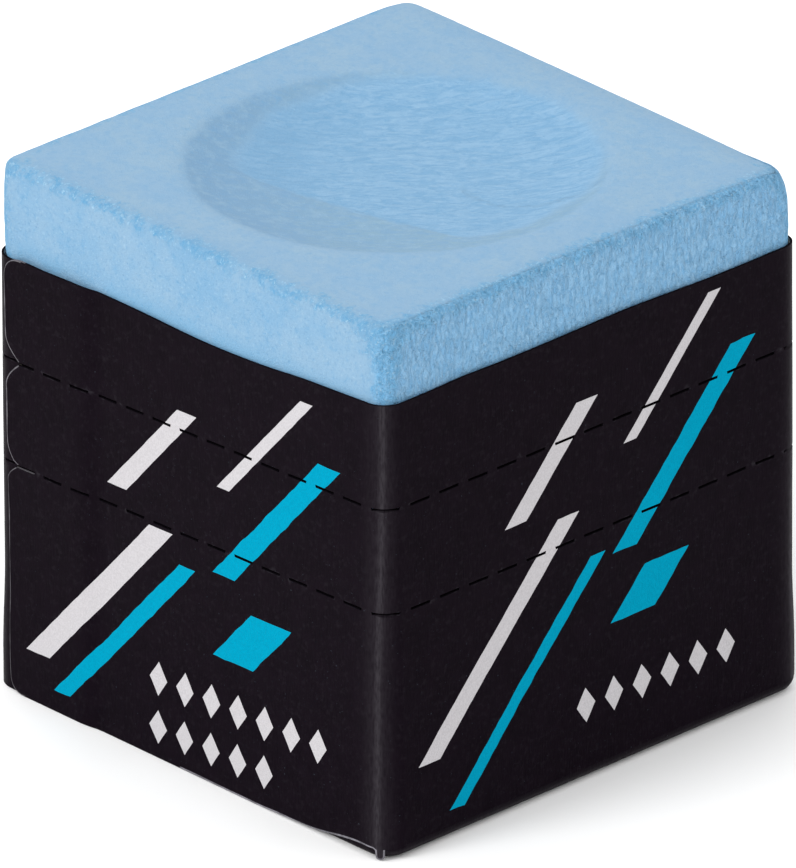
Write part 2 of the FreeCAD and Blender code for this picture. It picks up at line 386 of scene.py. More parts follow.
def black_print():
    n = Nodes("label_black_print")
    spot, fibres, mottle = paper_texture(n)
    # Along each upright crease the ink is rubbed, and a painted sheen lightens the black to grey there
    rub_and_sheen = n.times(n.attribute("rub_and_sheen"), n.span(fibres, 0.3, 0.66, 0.45, 1.0))
    # Painted highlight: a faint grey glint on the lips of some slits
    lip_glint = n.span(n.noise(spot, 2.6, 2.0, 0.5), 0.56, 0.68, 0.0, 0.42)
    lip = n.times(n.attribute("lip"), lip_glint)
    ink = n.mix(n.span(mottle, 0.3, 0.7), color(0.0032, 0.001, 0.0036), color(0.005, 0.0022, 0.0054))
    ink = n.wash(ink, n.noise(spot, 4.5, 3.0, 0.7), 0.5, 0.74, 0.8, color(0.0105, 0.0075, 0.0115))
    ink = n.wash(ink, fibres, 0.6, 0.8, 0.5, color(0.009, 0.006, 0.0098))
    ink = n.mix(rub_and_sheen, ink, color(0.042, 0.037, 0.044))
    ink = n.mix(lip, ink, color(0.04, 0.036, 0.044))
    dust = n.times(n.span(n.noise(spot, 12.0, 2.0, 0.5), 0.735, 0.79), 0.35)
    ink = n.mix(dust, ink, color(0.16, 0.2, 0.26))
    relief = n.bump(n.plus(fibres, n.times(mottle, 0.6)), 0.00001)
    return n.set(color=ink, roughness=n.span(mottle, 0.3, 0.7, 0.4, 0.5), specular=0.022, normal=relief)


def solid_ink(name, deep, light, specular):
    """A screened ink on the black: a shade uneven, with fibres showing through."""
    n = Nodes(name)
    spot, fibres, mottle = paper_texture(n)
    speckle = n.noise(spot, 16.0, 2.0, 0.6)
    ink = n.mix(n.span(speckle, 0.3, 0.7), deep, light)
    ink = n.wash(ink, fibres, 0.62, 0.84, 0.16, color(0.003, 0.006, 0.008))
    ink = n.wash(ink, speckle, 0.7, 0.8, 0.3, color(0.004, 0.01, 0.014))
    relief = n.bump(n.plus(fibres, speckle), 0.000012)
    return n.set(color=ink, roughness=n.span(speckle, 0.3, 0.7, 0.42, 0.54), specular=specular, normal=relief)


def paper_core(name, pale, dull, lower_share):
    """The cut edge of the paper, with fibres and some ink dragged over it. It is darker lower down."""
    n = Nodes(name)
    spot, fibres, mottle = paper_texture(n)
    height = n.axes()[2]
    edge = n.mix(n.span(n.noise(spot, 1.6, 3.0, 0.6), 0.35, 0.65), dull, pale)
    edge = n.wash(edge, height, 10.4, 9.4, lower_share, color(0.012, 0.01, 0.013))
    return n.set(color=edge, roughness=0.9, specular=0.02, normal=n.bump(fibres, 0.00001))


def paper_back():
    """The bare side of the label paper, with gum and chalk rubbed into its fibres."""
    n = Nodes("label_bare_back")
    spot, fibres, mottle = paper_texture(n)
    sheet = n.mix(n.span(mottle, 0.3, 0.7), color(0.46, 0.45, 0.43), color(0.56, 0.55, 0.53))
    sheet = n.wash(sheet, fibres, 0.55, 0.75, 0.4, color(0.36, 0.35, 0.33))
    rubbed_in = n.span(n.noise(spot, 1.1, 4.0, 0.65), 0.52, 0.7, 0.0, 0.6)
    sheet = n.mix(rubbed_in, sheet, color(0.24, 0.42, 0.6))
    return n.set(color=sheet, roughness=0.9, specular=0.15, normal=n.bump(fibres, 0.00002))


def tacky_coat():
    n = Nodes("label_adhesive")
    spot, fibres, mottle = paper_texture(n)
    coat = n.mix(n.span(mottle, 0.35, 0.65), color(0.44, 0.405, 0.33), color(0.54, 0.505, 0.425))
    picked_up = n.span(n.noise(spot, 1.6, 4.0, 0.65), 0.48, 0.64, 0.0, 0.8)
    coat = n.mix(picked_up, coat, color(0.2, 0.38, 0.57))
    # Painted shade: by the slits the coat is painted near black and given no specular, so the slits look dark
    coat = n.mix(n.attribute("lip"), coat, color(0.0016, 0.0012, 0.0016))
    gloss = n.span(n.attribute("lip"), 0.0, 1.0, 0.3, 0.0)
    return n.set(color=coat, roughness=n.span(mottle, 0.3, 0.7, 0.3, 0.55), specular=gloss,
                 normal=n.bump(n.plus(mottle, fibres), 0.00003))


def studio_floor():
    n = Nodes("studio_floor")
    spot = n.add("ShaderNodeTexCoord").outputs["Object"]
    clouds = n.span(n.noise(spot, 30.0, 3.0), 0.3, 0.7)
    tone = n.mix(clouds, (0.94, 0.94, 0.943, 1.0), (0.955, 0.955, 0.957, 1.0))
    return n.set(color=tone, roughness=0.85, specular=0.2)


CHALK = pressed_chalk()
BLACK = black_print()
WHITE = solid_ink("label_white_ink", color(0.52, 0.5, 0.52), color(0.6, 0.58, 0.6), 0.06)
CYAN = solid_ink("label_cyan_ink", color(0.0, 0.286, 0.445), color(0.0, 0.334, 0.512), 0.006)
PALE_CORE = paper_core("label_cut_edge_pale", color(0.2, 0.19, 0.21), color(0.1, 0.095, 0.105), 0.55)
FOOT_CORE = paper_core("label_cut_edge_foot", color(0.26, 0.25, 0.28), color(0.13, 0.125, 0.14), 0.0)
# Near-black cut edge: painted shade on the walls of the slits, and the same dark edge on the bands' other cut
# edges
DARK_CORE = paper_core("label_cut_edge_dark", color(0.008, 0.006, 0.009), color(0.004, 0.003, 0.005), 0.0)
BACK = paper_back()
COAT = tacky_coat()
SHEET_MATERIALS = [BLACK, WHITE, CYAN, PALE_CORE, FOOT_CORE, DARK_CORE, BACK]
BLACK_I, WHITE_I, CYAN_I, PALE_I, FOOT_I, DARK_I, BACK_I = range(7)


# ---------------- chalk block
RING_POINTS = 840
DISH_RADIUS = 8.5
DISH_DEPTH = 0.92
FLOOR_CENTRE = (0.95, 0.9)  # the rubbed floor of the dish is off centre, to the right and the back
FLOOR_REACH = (7.4, 7.5)


def loop(half, corner, z):
    """Points of one level, rounded square loop, and the level direction outwards at each."""
    per_quarter = RING_POINTS // 4
    straight = half - corner
    arc_length = corner * math.pi / 2
    length = 2 * straight + arc_length
    points, outs = [], []
    for quarter in range(4):
        turn = quarter * math.pi / 2
        for index in range(per_quarter):
            run = index / per_quarter * length
            if run < straight:
                local, out = (half, run), (1.0, 0.0)
            elif run < straight + arc_length:
                angle = (run - straight) / max(corner, 1e-9)
                out = (math.cos(angle), math.sin(angle))
                local = (straight + corner * out[0], straight + corner * out[1])
            else:
                local, out = (2 * straight + arc_length - run, half), (0.0, 1.0)
            for pair, made in ((local, points), (out, outs)):
                made.append((pair[0] * math.cos(turn) - pair[1] * math.sin(turn),
                             pair[0] * math.sin(turn) + pair[1] * math.cos(turn)))
    return np.c_[points, np.full(len(points), z)], np.array(outs)


def chalk_levels():
    """(half, corner radius, height, tilt of the surface) of each loop, from the base to the dish."""
    levels = []
    for reach in np.linspace(0.3, HALF - BASE_EDGE, 6):
        levels.append((reach, min(reach, CHALK_EDGE - BASE_EDGE), BLOCK_BOTTOM, -math.pi / 2))
    for angle in np.linspace(0, math.pi / 2, 4)[1:]:
        inset = BASE_EDGE * (1 - math.sin(angle))
        height = BLOCK_BOTTOM + BASE_EDGE * (1 - math.cos(angle))
        levels.append((HALF - inset, CHALK_EDGE - inset, height, angle - math.pi / 2))
    lower_side = np.linspace(BLOCK_BOTTOM + BASE_EDGE, HIDDEN_TO, 15)[1:]
    upper_side = np.linspace(HIDDEN_TO, TOTAL_HEIGHT - TOP_EDGE, 29)[1:]
    for height in np.concatenate([lower_side, upper_side]):
        bared = smooth(HIDDEN_TO, BARE_FROM, height)
        levels.append((HALF, HIDDEN_EDGE + (CHALK_EDGE - HIDDEN_EDGE) * bared, height, 0.0))
    for angle in np.linspace(0, math.pi / 2, 10)[1:]:
        inset = TOP_EDGE * (1 - math.cos(angle))
        height = TOTAL_HEIGHT - TOP_EDGE * (1 - math.sin(angle))
        levels.append((HALF - inset, CHALK_EDGE - inset, height, angle))
    inner, outer = DISH_RADIUS + 0.25, HALF - TOP_EDGE
    corner = CHALK_EDGE - TOP_EDGE
    for share in np.linspace(0, 1, 15)[1:]:
        half = outer + (inner - outer) * share
        levels.append((half, min(corner + (inner - corner) * share ** 1.4, half), TOTAL_HEIGHT, math.pi / 2))
    rim = np.linspace(inner, DISH_RADIUS - 0.9, 8)[1:]
    for radius in np.concatenate([rim, np.linspace(DISH_RADIUS - 0.9, 0.12, 30)[1:]]):
        levels.append((radius, radius, TOTAL_HEIGHT, math.pi / 2))
    return levels


def dish_shape(points):
    """Depth of the dish, and how far each point belongs to it and to its rubbed floor."""
    x, y = points[:, 0], points[:, 1]
    radius = np.hypot(x, y)
    right = RIGHT_X * x + RIGHT_Y * y
    back = RIGHT_X * y - RIGHT_Y * x
    level = np.zeros(len(points))
    wobble = lattice(np.c_[points[:, :2] / 1.9, level], 5)
    wobble += 0.6 * lattice(np.c_[points[:, :2] / 0.7, level], 6)
    share = np.clip((radius + 0.05 * wobble) / DISH_RADIUS, 0, 1.2)
    wall = DISH_DEPTH * (1 - share ** 3.4)
    soft = 0.1
    bowl = (wall + np.sqrt(wall ** 2 + soft ** 2)) / 2 - 0.008
    inside = 1 - smooth(0.93, 1.02, share)
    reach = np.hypot((right - FLOOR_CENTRE[0]) / FLOOR_REACH[0], (back - FLOOR_CENTRE[1]) / FLOOR_REACH[1])
    floor = 1 - smooth(0.88, 1.05, reach + 0.03 * wobble)
    floor *= smooth(-0.22, 0.12, back + CHORD_LEAN * right + CHORD_OFFSET + 0.16 * wobble)
    floor *= inside
    return np.clip(bowl, 0, None) + 0.05 * floor, inside, floor


def ring_faces(rows, start, middle, inside_out=False):
    """Faces between loops of RING_POINTS each, and a fan from the last loop to the middle point."""
    faces = []
    for row in range(rows):
        here, above = start + row * RING_POINTS, start + (row + 1) * RING_POINTS
        for column in range(RING_POINTS):
            after = (column + 1) % RING_POINTS
            if row < rows - 1:
                faces.append((here + column, here + after, above + after, above + column))
            else:
                faces.append((middle, here + column, here + after))
    return [face[::-1] for face in faces] if inside_out else faces


def chalk_block():
    levels = chalk_levels()
    points, outward, tilts = [], [], []
    for half, corner, z, tilt in levels:
        ring, outs = loop(half, corner, z)
        points.append(ring)
        outward.append(np.c_[outs * math.cos(tilt), np.full(len(outs), math.sin(tilt))])
        tilts.append(np.full(len(outs), tilt))
    points = np.vstack(points + [[[0, 0, BLOCK_BOTTOM], [0, 0, TOTAL_HEIGHT]]])
    outward = np.vstack(outward + [[[0, 0, -1], [0, 0, 1]]])
    tilts = np.concatenate(tilts + [[-math.pi / 2, math.pi / 2]])
    bottom_middle, top_middle = len(points) - 2, len(points) - 1

    x, y, z = points.T
    on_top = smooth(0.75, 1.5, tilts)
    depth, inside, floor = dish_shape(points)
    from_side = HALF - np.maximum(np.abs(x), np.abs(y))
    from_top = TOTAL_HEIGHT - z
    to_edge = np.hypot(from_side * (1 + 0.7 * on_top), from_top)
    top_edge = near(to_edge, 0.62)
    to_crest = np.hypot(from_side / (0.55 + 0.25 * on_top), from_top / 0.52)
    to_upright = np.hypot(HALF - np.abs(x), HALF - np.abs(y))
    upright_edge = near(to_upright, 0.8) * (1 - on_top)

    # Chips and crumbs along all edges, and the two back edges of the top rubbed rounder
    chips = np.clip(cloudy(points / 0.85, 11, 4) + 0.1, 0, None)
    crumbs = np.clip(cloudy(points / 0.3, 23, 3), -1, 1)
    far_side = smooth(FLAT - 0.6, FLAT + 0.4, np.maximum(y, -x))
    worn = top_edge * (0.12 * chips + 0.028 * (1 + crumbs)) * (1 - 0.75 * far_side)
    worn += upright_edge * (0.06 * chips + 0.018 * (1 + crumbs))
    to_back_edge = np.hypot(HALF - y, from_top)
    along_back = smooth(-HALF, HALF, x)
    to_corner = np.linalg.norm(points - [HALF, HALF, TOTAL_HEIGHT], axis=1)
    corner_wear = near(to_corner, 1.4)
    worn += 0.33 * near(to_back_edge, 1.0) * (0.45 + 0.55 * along_back) * (1 - 0.65 * corner_wear)
    to_left_back = np.hypot(HALF + x, from_top)
    worn += 0.09 * near(to_left_back, 0.75)
    to_front_corner = np.linalg.norm(points - [HALF, -HALF, TOTAL_HEIGHT], axis=1)
    front_wear = near(to_front_corner, 1.5)
    worn += 0.12 * on_top * near(to_corner, 3.6)
    # Short upright tears on the sides, where the pressed block left its mould
    coarse = np.clip(smooth(HALF - 0.9, HALF - 0.25, x) + 0.8 * smooth(HALF - 0.9, HALF - 0.25, y), 0, 1)
    run = x + y
    tears = cloudy(np.c_[run / 0.45, z / 0.95 + run * 0.2, x * 0], 31, 2)
    worn += (1 - on_top) * (0.15 + 0.85 * coarse) * 0.02 * (1 + tears)
    worn += 0.006 * (1 + cloudy(points / 1.7, 43, 3))
    # The corner between the +X and +Y sides is knocked off, square to its diagonal, and rubbed round
    knocked = CORNER_CUT - (2 * HALF - x - y + from_top)
    knocked = (knocked + np.sqrt(knocked ** 2 + CORNER_SOFT ** 2)) / 2 * np.exp(-(to_corner / 3.0) ** 4)
    points = points - outward * worn[:, None] - knocked[:, None] / 3
    points[:, 2] -= depth * (tilts > 1.5)

    faces = ring_faces(len(levels), 0, top_middle)
    faces += [(bottom_middle, (column + 1) % RING_POINTS, column) for column in range(RING_POINTS)]
    block = mesh_object("chalk_block_pressed", points, faces, [CHALK])
    on_face = (tilts > 1.5).astype(float)
    vertex_values(block, "top", on_top * smooth(0.04, 0.4, from_side))
    vertex_values(block, "dish_floor", on_face * floor)
    vertex_values(block, "dish_wall", on_face * np.clip(inside - floor, 0, 1))
    seen = 1 - 0.75 * smooth(FLAT - 0.3, FLAT + 0.5, points[:, 1]) * (1 - corner_wear)
    crumbly = np.exp(-to_crest ** 2) * (0.8 + 0.2 * smooth(FLAT - 0.6, FLAT + 0.2, points[:, 0])) * seen
    crumbly += upright_edge * 1.15 + 0.85 * corner_wear + 0.8 * front_wear * (1 - 0.7 * on_top)
    vertex_values(block, "worn_edge", np.clip(crumbly, 0, 1.3))
    vertex_values(block, "coarse_side", coarse * (1 - on_top * smooth(0.1, 0.55, from_side)))
    return block


# ---------------- label, wrapped round the block
def swell(z):
    """How far the label stands out: snug at its top, looser lower down, and over the margins at its foot."""
    middle = 0.02 * (1 - smooth(11.0, 19.2, z))
    return middle + (LAYER - 0.02) * (1 - smooth(1.4, 5.5, z))


def place(t, v, depth):
    """Where a point of the flat sheet goes. Depth is measured outwards from the back of the paper."""
    t, v = np.asarray(t, float), np.asarray(v, float)
    x, y = np.zeros_like(t), np.zeros_like(t)
    out_x, out_y = np.zeros_like(t), np.zeros_like(t)
    for side, length in enumerate(PANELS + (SHEET_LENGTH,)):
        turn = side * math.pi / 2
        along, away = (math.cos(turn), math.sin(turn)), (math.sin(turn), -math.cos(turn))
        begin = PANEL_STARTS[side]
        low = -np.inf if side == 0 else begin
        on_panel = (t >= low) & (t <= begin + length)
        run = (TAIL_END if side == 0 else -FLAT) + (t - begin)
        for values, part in ((x, 0), (y, 1)):
            values[on_panel] = (run * along[part] + HALF * away[part])[on_panel]
        out_x[on_panel], out_y[on_panel] = away
        on_bend = (t > begin + length) & (t < begin + length + QUARTER)
        angle = (t - begin - length) / QUARTER * math.pi / 2
        for values, outs, part in ((x, out_x, 0), (y, out_y, 1)):
            normal = away[part] * np.cos(angle) + along[part] * np.sin(angle)
            values[on_bend] = (FLAT * (along[part] + away[part]) + LABEL_EDGE * normal)[on_bend]
            outs[on_bend] = normal[on_bend]
    z = v + SKEW * x
    lapped = LAYER * (1 - smooth(JOG_END - TAIL_END, JOG_START - TAIL_END, t))
    loose = 0.012 * (1 + cloudy(np.c_[t / 5.0, z / 3.5, 0 * z], 61, 2)) * smooth(1.4, 3.5, z)
    loose = loose * (1 - smooth(SHEET_LENGTH - 9.0, SHEET_LENGTH - 5.0, t))
    reach = COAT_OUT + lapped + np.minimum(swell(z) + loose, LAYER) + depth
    return np.stack([x + out_x * reach, y + out_y * reach, z], axis=-1)


def edge_rub_and_sheen(t, v):
    """How much the ink is rubbed along each upright edge, with a painted sheen on the crease: 1 on the
    crease, and a soft haze beside it.
    """
    value = np.zeros_like(t)
    for side, length in enumerate(PANELS):
        crease = PANEL_STARTS[side] + length + QUARTER / 2 - 0.1 - 0.22 * (1 - smooth(5.0, 17.0, v))
        away = np.abs(t - crease)
        value = np.maximum(value, 0.62 * near(away, 0.12) + 0.38 * near(away, 0.52))
    return value


def columns_along(step):
    """Distances along the sheet at which it is divided: evenly on the sides, closer round the bends."""
    marks = list(np.arange(0.6, SHEET_LENGTH - 0.2, step))
    for side, length in enumerate(PANELS):
        start = PANEL_STARTS[side] + length
        marks = [mark for mark in marks if not start - 0.3 < mark < start + QUARTER + 0.1]
        marks += list(np.linspace(start - 0.24, start + QUARTER, 22))
    return sorted(marks)


def tail(v):
    """The tail end leans a little: further round the block at the top."""
    return -0.12 + 0.24 * (1 - v / 18.5)


def top_wave(t):
    """The die-cut upper edge dips across the front panel and a little at the far end of the next."""
    front = near(t - 12.2, 5.2)
    next_side = smooth(PANEL_STARTS[1] + 12.0, PANEL_STARTS[1] + 18.0, t)
    return -0.33 * front - 0.16 * next_side + 0.03 * lattice(np.c_[t / 2.1, 0 * t, 0 * t], 71)


def slit_wave(t):
    return 0.016 * lattice(np.c_[t / 1.3, 0 * t, 0 * t], 83)


def number(function, t):
    return float(function(np.array([t]))[0])


def tail_corner(level, size, inwards, rounded):
    """One corner of a tab on the tail end, from the tail to its end on the level given."""
    across, down = size
    bulge = 0.0 if rounded else 0.55 * down
    points = []
    for share in np.linspace(0, 1, 9):
        v = (1 - share) ** 2 * down + 2 * share * (1 - share) * bulge
        points.append((tail(level) + share ** 2 * across, level + inwards * v))
    return points


def rounded_tab(v_low, v_high, low_corner, high_corner, low_round=False, high_round=False):
    """The tail's cut edge from its foot to its head, as (t, v) points."""
    low = tail_corner(v_low, low_corner, 1, low_round)[::-1]
    high = tail_corner(v_high, high_corner, -1, high_round)
    between = np.arange(v_low + low_corner[1] + 0.3, v_high - high_corner[1] - 0.2, 0.45)
    return low + [(tail(v), v) for v in between] + high


def tie_spans():
    """(start, end) along the sheet of every paper tie of a perforation line."""
    spans = []
    start = 1.55
    while start + TIE < SHEET_LENGTH - 0.5:
        spans.append((start, start + TIE))
        start += TIE_PITCH
    return spans


def level_edge(height, wave, from_t):
    """A plain cut edge along the sheet, from just past from_t to just short of the sheet's end."""
    marks = [t for t in columns_along(SHEET_STEP) if from_t + END_GAP < t < SHEET_LENGTH - END_GAP]
    return [(t, height + number(wave, t)) for t in marks]


def tied_edge(line, from_t):
    """The upper edge of a band: below the slits, and up across each slit at a tie."""
    low, high = line - SLIT / 2, line + SLIT / 2
    points = []
    for start, end in tie_spans():
        if start >= from_t + 0.05:
            left, right = number(slit_wave, start), number(slit_wave, end)
            points += [(start, low + left), (start + 0.03, high + left),
                       (end - 0.03, high + right), (end, low + right)]
    return points


def closed(bottom, low, high, top, head):
    """An outline from a band's lower edge, round its leading end, back along its top and down its tail."""
    return bottom + [(SHEET_LENGTH, low), (SHEET_LENGTH, high)] + top[::-1] + head[::-1]


def upper_outline():
    low = UPPER_LINE + SLIT / 2
    head = rounded_tab(low, TOP_LINE + number(top_wave, 0.9), (0.76, 1.05), (1.0, 1.0), high_round=True)
    bottom = level_edge(low, slit_wave, head[0][0])
    top = level_edge(TOP_LINE, top_wave, head[-1][0])
    return closed(bottom, low, TOP_LINE + number(top_wave, SHEET_LENGTH), top, head)


def middle_outline():
    low, high = LOWER_LINE + SLIT / 2, UPPER_LINE - SLIT / 2
    head = rounded_tab(low, high, (0.46, 0.95), (0.74, 1.05))
    bottom = level_edge(low, slit_wave, head[0][0])
    top = tied_edge(UPPER_LINE, head[-1][0])
    return closed(bottom, low, high, top, head)


def foot_height(t):
    """The lower wrap's cut edge, as a height z: along the base, rising to the hinge fold on the +X side."""
    if t < PANEL_STARTS[1]:
        return 0.04 + 0.12 * float(smooth(14.0, 17.5, t)) + 0.34 * float(smooth(17.0, 20.3, t))
    return 0.04 + (HINGE_RADIUS - 0.04) * float(1 - smooth(PANEL_STARTS[2], PANEL_STARTS[2] + 4.0, t))


def foot_edge():
    """The whole cut edge at the foot, as (t, v) points."""
    bottom = [(t, foot_height(t)) for t in columns_along(0.4)
              if 0.9 < t < SHEET_LENGTH - END_GAP and abs(t - TONGUE) > TONGUE_HALF + 0.03]
    for angle in np.linspace(0, math.pi, 11):
        bottom.append((TONGUE - TONGUE_HALF * math.cos(angle), 0.2 - TONGUE_HALF * math.sin(angle)))
    bottom += [(TONGUE - TONGUE_HALF - 0.01, 0.44), (TONGUE + TONGUE_HALF + 0.01, 0.5)]
    bottom.sort()
    return [(t, z - SKEW * float(place([t], [0.0], 0.0)[0, 0])) for t, z in bottom]


def lower_outline():
    high = LOWER_LINE - SLIT / 2
    bottom = foot_edge()
    head = rounded_tab(bottom[0][1], high, (0.8, 0.8), (0.5, 0.62), low_round=True)
    top = tied_edge(LOWER_LINE, head[-1][0])
    return closed(bottom, bottom[-1][1], high, top, head)


# ---------------- print: plain slanted bars and small lozenges
BAR_LEAN = 0.92  # how far a bar leans to the right for each millimetre up
LOZENGE_HALF = (0.5, 0.74)
LOZENGE_PITCH = 1.52
WHITE_EDGE = 0.012  # how rough the edges of each ink are
CYAN_EDGE = 0.03
# For the -Y and the +X side: each bar's ink, left foot, low end, high end and width, then where each row of
# lozenges starts, its height and how many it has
SIDE_PRINTS = (
    ([(WHITE_I, -9.2, 2.5, 10.1, 1.35),
      (WHITE_I, -4.6, 11.2, 15.6, 1.1),
      (WHITE_I, 1.7, 13.0, 18.2, 0.7),
      (CYAN_I, -7.6, 1.2, 8.9, 0.95),
      (CYAN_I, 1.4, 9.2, 15.8, 1.25),
      (CYAN_I, 1.4, 5.6, 8.0, 2.3)],
     [(-1.7, 3.55, 7), (-1.7, 1.45, 5)]),
    ([(WHITE_I, -9.6, 3.3, 11.5, 1.15),
      (WHITE_I, -4.9, 12.0, 16.2, 1.15),
      (WHITE_I, 1.5, 13.6, 18.6, 0.7),
      (CYAN_I, -8.0, 0.9, 9.3, 0.8),
      (CYAN_I, 0.9, 9.0, 16.0, 1.3),
      (CYAN_I, 0.8, 6.0, 8.0, 2.4)],
     [(-0.6, 2.95, 6)]),
)


def wobbly(points, step, amount, seed):
    """A closed outline divided evenly and roughened as a screen print's edge is."""
    made = []
    for index, start in enumerate(points):
        end = points[(index + 1) % len(points)]
        length = math.hypot(end[0] - start[0], end[1] - start[1])
        parts = max(1, round(length / step))
        for part in range(parts):
            share = part / parts
            made.append((start[0] + (end[0] - start[0]) * share, start[1] + (end[1] - start[1]) * share))
    jitter = np.array(made)
    shift = np.c_[lattice(np.c_[jitter / 0.37, 0 * jitter[:, 0]], seed),
                  lattice(np.c_[jitter / 0.41, 0 * jitter[:, 0] + 9], seed)]
    return [tuple(point) for point in jitter + amount * shift]


def bar(left, low, high, width):
    """A slanted bar with level ends. left is its left foot's place across the side."""
    lean = (high - low) * BAR_LEAN
    return [(left, low), (left + width, low), (left + width + lean, high), (left + lean, high)]


def lozenge(centre, level):
    half_width, half_height = LOZENGE_HALF
    return [(centre - half_width, level), (centre, level - half_height),
            (centre + half_width, level), (centre, level + half_height)]


def side_marks(bars, rows):
    """The print of one side, as (ink, outline) pairs, placed across the side from its middle."""
    marks = [(ink, bar(*sizes)) for ink, *sizes in bars]
    for first, level, count in rows:
        marks += [(WHITE_I, lozenge(first + step * LOZENGE_PITCH, level)) for step in range(count)]
    return marks


def sheet_marks():
    """The whole sheet's print. Opposite sides carry the same."""
    marks = []
    middles = [-TAIL_END] + [start + FLAT for start in PANEL_STARTS[1:4]]
    for index, middle in enumerate(middles):
        for ink, outline in side_marks(*SIDE_PRINTS[index % 2]):
            amount = WHITE_EDGE if ink == WHITE_I else CYAN_EDGE
            moved = [(middle + across, level) for across, level in outline]
            marks.append((ink, wobbly(moved, 0.22, amount, 97 + index)))
    return marks


# ---------------- sheet meshes
def heights(outline):
    levels = [v for t, v in outline]
    return min(levels), max(levels)


def inside_rows(outline, step):
    """Loose points that divide a band evenly, clear of its outline."""
    low, high = heights(outline)
    return [(t, v) for t in columns_along(step) for v in np.arange(low + 0.3, high - 0.2, step)]


def inward_strip(line, width):
    """A closed strip along the left of a line: the bare paper where the die has crushed the ink's edge."""
    line = np.array(line)
    step = np.gradient(line, axis=0)
    normal = np.c_[-step[:, 1], step[:, 0]] / np.maximum(np.hypot(step[:, 0], step[:, 1]), 1e-9)[:, None]
    chafed = 1 + 0.5 * lattice(np.c_[line / 0.9, 0 * line[:, 0]], 131)
    inner = line + normal * (width * chafed)[:, None]
    return [tuple(point) for point in line] + [tuple(point) for point in inner[::-1]]


def chafed_edges(outline):
    """Pale strips where an outline shows bare paper: at the tail end, and at the foot by the tongue."""
    tail_end = sorted((point for point in outline if point[0] < 1.02), key=lambda point: -point[1])
    strips = [(PALE_I, inward_strip(tail_end, 0.045))]
    foot = [point for point in outline if point[1] < 0.6 and 9.5 < point[0] < TONGUE + TONGUE_HALF + 0.05]
    if foot:
        strips.append((FOOT_I, inward_strip(sorted(foot), 0.055)))
    return strips


def lip_rows(outline, offsets):
    """Rows of points beside the slits, so that the painted glint and shade by a slit end close to it."""
    low, high = heights(outline)
    rows = []
    for line in (UPPER_LINE, LOWER_LINE):
        for offset in offsets:
            level = line + math.copysign(SLIT / 2, offset) + offset
            if low < level < high:
                marks = [t for t in columns_along(0.3) if 1.1 < t < SHEET_LENGTH - END_GAP]
                rows += [(t, level + number(slit_wave, t)) for t in marks]
    return rows


def by_slit(t, v, full=0.005, reach=0.05):
    """1 as far from a slit as full, falling to 0 within a short reach of it."""
    nearest = np.minimum(np.abs(v - slit_wave(t) - UPPER_LINE), np.abs(v - slit_wave(t) - LOWER_LINE))
    return 1 - smooth(SLIT / 2 + full, SLIT / 2 + reach, nearest)


def flat_mesh(outline, marks, step):
    """Triangles of the flat sheet: (points, faces, ink of each face)."""
    points, faces = list(outline), [list(range(len(outline)))]
    inks = [BLACK_I]
    low, high = heights(outline)
    for ink, shape in marks:
        foot, head = heights(shape)
        if head >= low and foot <= high:
            faces.append(list(range(len(points), len(points) + len(shape))))
            points += shape
            inks.append(ink)
    points += inside_rows(outline, step)
    points += lip_rows(outline, (-0.1, -0.05, 0.05, 0.1) if marks else (-0.3, -0.12, 0.12, 0.3))
    found = delaunay_2d_cdt([Vector(point) for point in points], [], faces, 1, 1e-5)
    flat, triangles, origins = found[0], found[2], found[5]
    kept, ink_of = [], []
    for triangle, origin in zip(triangles, origins):
        if 0 in origin:
            kept.append(tuple(triangle))
            ink_of.append(max(inks[index] for index in origin))
    used = sorted({index for face in kept for index in face})
    renumber = {old: new for new, old in enumerate(used)}
    kept = [tuple(renumber[index] for index in face) for face in kept]
    return np.array([tuple(flat[index]) for index in used]), kept, ink_of


def rim_edges(faces):
    """Directed edges that only one face has."""
    seen = dict.fromkeys(edge for face in faces for edge in zip(face, face[1:] + face[:1]))
    return [edge for edge in seen if (edge[1], edge[0]) not in seen]


def wrapped(flat, faces, outer, inner):
    """(points, faces, rim) of a sheet wrapped round the block: a skin at each depth, joined along the rim."""
    count = len(flat)
    skins = [place(flat[:, 0], flat[:, 1], depth) for depth in (outer, inner)]
    rim = rim_edges(faces)
    all_faces = list(faces) + [tuple(index + count for index in face[::-1]) for face in faces]
    all_faces += [(end, start, start + count, end + count) for start, end in rim]
    return np.vstack(skins), all_faces, rim


def label_piece(name, outline, marks):
    flat, faces, inks = flat_mesh(outline, marks + chafed_edges(outline), SHEET_STEP)
    points, all_faces, rim = wrapped(flat, faces, PAPER, 0.0)
    indices = list(inks) + [BACK_I] * len(faces)
    has_foot = points[:, 2].min() < 1.0
    for start, end in rim:
        t, z = (flat[start][0] + flat[end][0]) / 2, (points[start][2] + points[end][2]) / 2
        at_tail = t < 1.1
        at_foot = has_foot and z < 0.75
        # Edges in the slits take the near-black cut edge as painted shade
        indices.append(PALE_I if at_tail else FOOT_I if at_foot else DARK_I)
    piece = mesh_object(name, points, all_faces, SHEET_MATERIALS, indices)
    sharpen(piece, 40)
    vertex_values(piece, "rub_and_sheen", np.tile(edge_rub_and_sheen(flat[:, 0], flat[:, 1]), 2))
    vertex_values(piece, "lip", np.tile(by_slit(flat[:, 0], flat[:, 1]), 2))
    return piece


def coat_outline(outline, low, high):
    """The adhesive's outline: a hair inside the paper at its ends and head, and out into the slits."""
    ring = []
    for t, v in outline:
        t = min(max(t, tail(v) + SETBACK), SHEET_LENGTH - SETBACK)
        if low is not None and v < low + SLIT:
            v = low + number(slit_wave, t) + 0.02
        elif low is None and v < 1.5:
            v += SETBACK
        if high is not None and v > high - SLIT:
            v = high + number(slit_wave, t) - 0.02
        elif high is None and v > 17.0:
            v -= SETBACK
        if not ring or math.hypot(t - ring[-1][0], v - ring[-1][1]) > 0.005:
            ring.append((t, v))
    return ring


